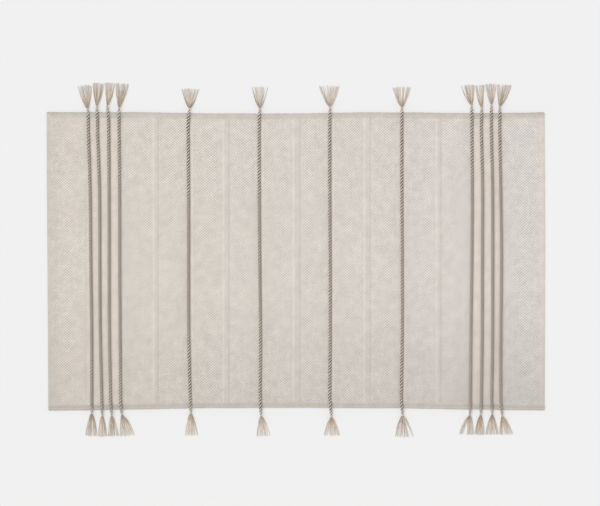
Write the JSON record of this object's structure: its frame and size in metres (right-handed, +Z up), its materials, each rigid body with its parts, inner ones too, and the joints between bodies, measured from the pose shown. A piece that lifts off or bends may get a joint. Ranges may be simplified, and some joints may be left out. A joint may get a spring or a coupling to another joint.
{
  "type": "bath mat",
  "caption": "Flat woven cotton bath mat with ribbed bands, plain stripes, hemmed ends, sewn-on twisted cords and a fringe of folding tassels on both long edges.",
  "frame": {"origin": "centre of the cloth's underside, on the floor", "axes": "+X along the long side, +Y across the mat towards the rear hem, +Z up"},
  "size_m": [1, 0.7165, 0.0134],
  "materials": {
    "cotton_cloth": "woven matt",
    "sewing_thread": "matt",
    "twisted_cord": "twisted matt",
    "binding_thread": "matt",
    "tassel_threads": "matt"
  },
  "bodies": {
    "mat": {"mat_cloth": "cotton_cloth", "hem_stitches_front": "sewing_thread", "hem_stitches_rear": "sewing_thread", "cord_01": "twisted_cord", "cord_stitches_01": "sewing_thread", "cord_02": "twisted_cord", "cord_stitches_02": "sewing_thread", "cord_03": "twisted_cord", "cord_stitches_03": "sewing_thread", "cord_04": "twisted_cord", "cord_stitches_04": "sewing_thread", "cord_05": "twisted_cord", "cord_stitches_05": "sewing_thread", "cord_06": "twisted_cord", "cord_stitches_06": "sewing_thread", "cord_07": "twisted_cord", "cord_stitches_07": "sewing_thread", "cord_08": "twisted_cord", "cord_stitches_08": "sewing_thread", "cord_09": "twisted_cord", "cord_stitches_09": "sewing_thread", "cord_10": "twisted_cord", "cord_stitches_10": "sewing_thread", "cord_11": "twisted_cord", "cord_stitches_11": "sewing_thread", "cord_12": "twisted_cord", "cord_stitches_12": "sewing_thread", "bindings_front": "binding_thread", "bindings_rear": "binding_thread"},
    "tassel_front_01": {"tassel_front_01": "tassel_threads"},
    "tassel_front_02": {"tassel_front_02": "tassel_threads"},
    "tassel_front_03": {"tassel_front_03": "tassel_threads"},
    "tassel_front_04": {"tassel_front_04": "tassel_threads"},
    "tassel_front_05": {"tassel_front_05": "tassel_threads"},
    "tassel_front_06": {"tassel_front_06": "tassel_threads"},
    "tassel_front_07": {"tassel_front_07": "tassel_threads"},
    "tassel_front_08": {"tassel_front_08": "tassel_threads"},
    "tassel_front_09": {"tassel_front_09": "tassel_threads"},
    "tassel_front_10": {"tassel_front_10": "tassel_threads"},
    "tassel_front_11": {"tassel_front_11": "tassel_threads"},
    "tassel_front_12": {"tassel_front_12": "tassel_threads"},
    "tassel_rear_01": {"tassel_rear_01": "tassel_threads"},
    "tassel_rear_02": {"tassel_rear_02": "tassel_threads"},
    "tassel_rear_03": {"tassel_rear_03": "tassel_threads"},
    "tassel_rear_04": {"tassel_rear_04": "tassel_threads"},
    "tassel_rear_05": {"tassel_rear_05": "tassel_threads"},
    "tassel_rear_06": {"tassel_rear_06": "tassel_threads"},
    "tassel_rear_07": {"tassel_rear_07": "tassel_threads"},
    "tassel_rear_08": {"tassel_rear_08": "tassel_threads"},
    "tassel_rear_09": {"tassel_rear_09": "tassel_threads"},
    "tassel_rear_10": {"tassel_rear_10": "tassel_threads"},
    "tassel_rear_11": {"tassel_rear_11": "tassel_threads"},
    "tassel_rear_12": {"tassel_rear_12": "tassel_threads"}
  },
  "joints": [
    {"name": "tassel_front_01_fold", "type": "hinge", "parent": "mat", "child": "tassel_front_01", "pos_m": [-0.412, -0.308, 0.0091], "axis": [-1, 0, 0], "range_deg": [0, 150]},
    {"name": "tassel_front_02_fold", "type": "hinge", "parent": "mat", "child": "tassel_front_02", "pos_m": [-0.3906, -0.3125, 0.0091], "axis": [-1, 0, 0], "range_deg": [0, 150]},
    {"name": "tassel_front_03_fold", "type": "hinge", "parent": "mat", "child": "tassel_front_03", "pos_m": [-0.3715, -0.3125, 0.0091], "axis": [-1, 0, 0], "range_deg": [0, 150]},
    {"name": "tassel_front_04_fold", "type": "hinge", "parent": "mat", "child": "tassel_front_04", "pos_m": [-0.3514, -0.3105, 0.0091], "axis": [-1, 0, 0], "range_deg": [0, 150]},
    {"name": "tassel_front_05_fold", "type": "hinge", "parent": "mat", "child": "tassel_front_05", "pos_m": [-0.2123, -0.3075, 0.0091], "axis": [-1, 0, 0], "range_deg": [0, 150]},
    {"name": "tassel_front_06_fold", "type": "hinge", "parent": "mat", "child": "tassel_front_06", "pos_m": [-0.0712, -0.313, 0.0091], "axis": [-1, 0, 0], "range_deg": [0, 150]},
    {"name": "tassel_front_07_fold", "type": "hinge", "parent": "mat", "child": "tassel_front_07", "pos_m": [0.0703, -0.315, 0.0091], "axis": [-1, 0, 0], "range_deg": [0, 150]},
    {"name": "tassel_front_08_fold", "type": "hinge", "parent": "mat", "child": "tassel_front_08", "pos_m": [0.2136, -0.312, 0.0091], "axis": [-1, 0, 0], "range_deg": [0, 150]},
    {"name": "tassel_front_09_fold", "type": "hinge", "parent": "mat", "child": "tassel_front_09", "pos_m": [0.3492, -0.3115, 0.0091], "axis": [-1, 0, 0], "range_deg": [0, 150]},
    {"name": "tassel_front_10_fold", "type": "hinge", "parent": "mat", "child": "tassel_front_10", "pos_m": [0.371, -0.311, 0.0091], "axis": [-1, 0, 0], "range_deg": [0, 150]},
    {"name": "tassel_front_11_fold", "type": "hinge", "parent": "mat", "child": "tassel_front_11", "pos_m": [0.394, -0.3095, 0.0091], "axis": [-1, 0, 0], "range_deg": [0, 150]},
    {"name": "tassel_front_12_fold", "type": "hinge", "parent": "mat", "child": "tassel_front_12", "pos_m": [0.4144, -0.3135, 0.0091], "axis": [-1, 0, 0], "range_deg": [0, 150]},
    {"name": "tassel_rear_01_fold", "type": "hinge", "parent": "mat", "child": "tassel_rear_01", "pos_m": [-0.42, 0.308, 0.0091], "axis": [1, 0, 0], "range_deg": [0, 150]},
    {"name": "tassel_rear_02_fold", "type": "hinge", "parent": "mat", "child": "tassel_rear_02", "pos_m": [-0.4017, 0.3135, 0.0091], "axis": [1, 0, 0], "range_deg": [0, 150]},
    {"name": "tassel_rear_03_fold", "type": "hinge", "parent": "mat", "child": "tassel_rear_03", "pos_m": [-0.3804, 0.3145, 0.0091], "axis": [1, 0, 0], "range_deg": [0, 150]},
    {"name": "tassel_rear_04_fold", "type": "hinge", "parent": "mat", "child": "tassel_rear_04", "pos_m": [-0.3568, 0.3105, 0.0091], "axis": [1, 0, 0], "range_deg": [0, 150]},
    {"name": "tassel_rear_05_fold", "type": "hinge", "parent": "mat", "child": "tassel_rear_05", "pos_m": [-0.215, 0.309, 0.0091], "axis": [1, 0, 0], "range_deg": [0, 150]},
    {"name": "tassel_rear_06_fold", "type": "hinge", "parent": "mat", "child": "tassel_rear_06", "pos_m": [-0.0735, 0.309, 0.0091], "axis": [1, 0, 0], "range_deg": [0, 150]},
    {"name": "tassel_rear_07_fold", "type": "hinge", "parent": "mat", "child": "tassel_rear_07", "pos_m": [0.0678, 0.312, 0.0091], "axis": [1, 0, 0], "range_deg": [0, 150]},
    {"name": "tassel_rear_08_fold", "type": "hinge", "parent": "mat", "child": "tassel_rear_08", "pos_m": [0.2121, 0.311, 0.0091], "axis": [1, 0, 0], "range_deg": [0, 150]},
    {"name": "tassel_rear_09_fold", "type": "hinge", "parent": "mat", "child": "tassel_rear_09", "pos_m": [0.3525, 0.316, 0.0091], "axis": [1, 0, 0], "range_deg": [0, 150]},
    {"name": "tassel_rear_10_fold", "type": "hinge", "parent": "mat", "child": "tassel_rear_10", "pos_m": [0.373, 0.311, 0.0091], "axis": [1, 0, 0], "range_deg": [0, 150]},
    {"name": "tassel_rear_11_fold", "type": "hinge", "parent": "mat", "child": "tassel_rear_11", "pos_m": [0.3924, 0.317, 0.0091], "axis": [1, 0, 0], "range_deg": [0, 150]},
    {"name": "tassel_rear_12_fold", "type": "hinge", "parent": "mat", "child": "tassel_rear_12", "pos_m": [0.4092, 0.313, 0.0091], "axis": [1, 0, 0], "range_deg": [0, 150]}
  ]
}
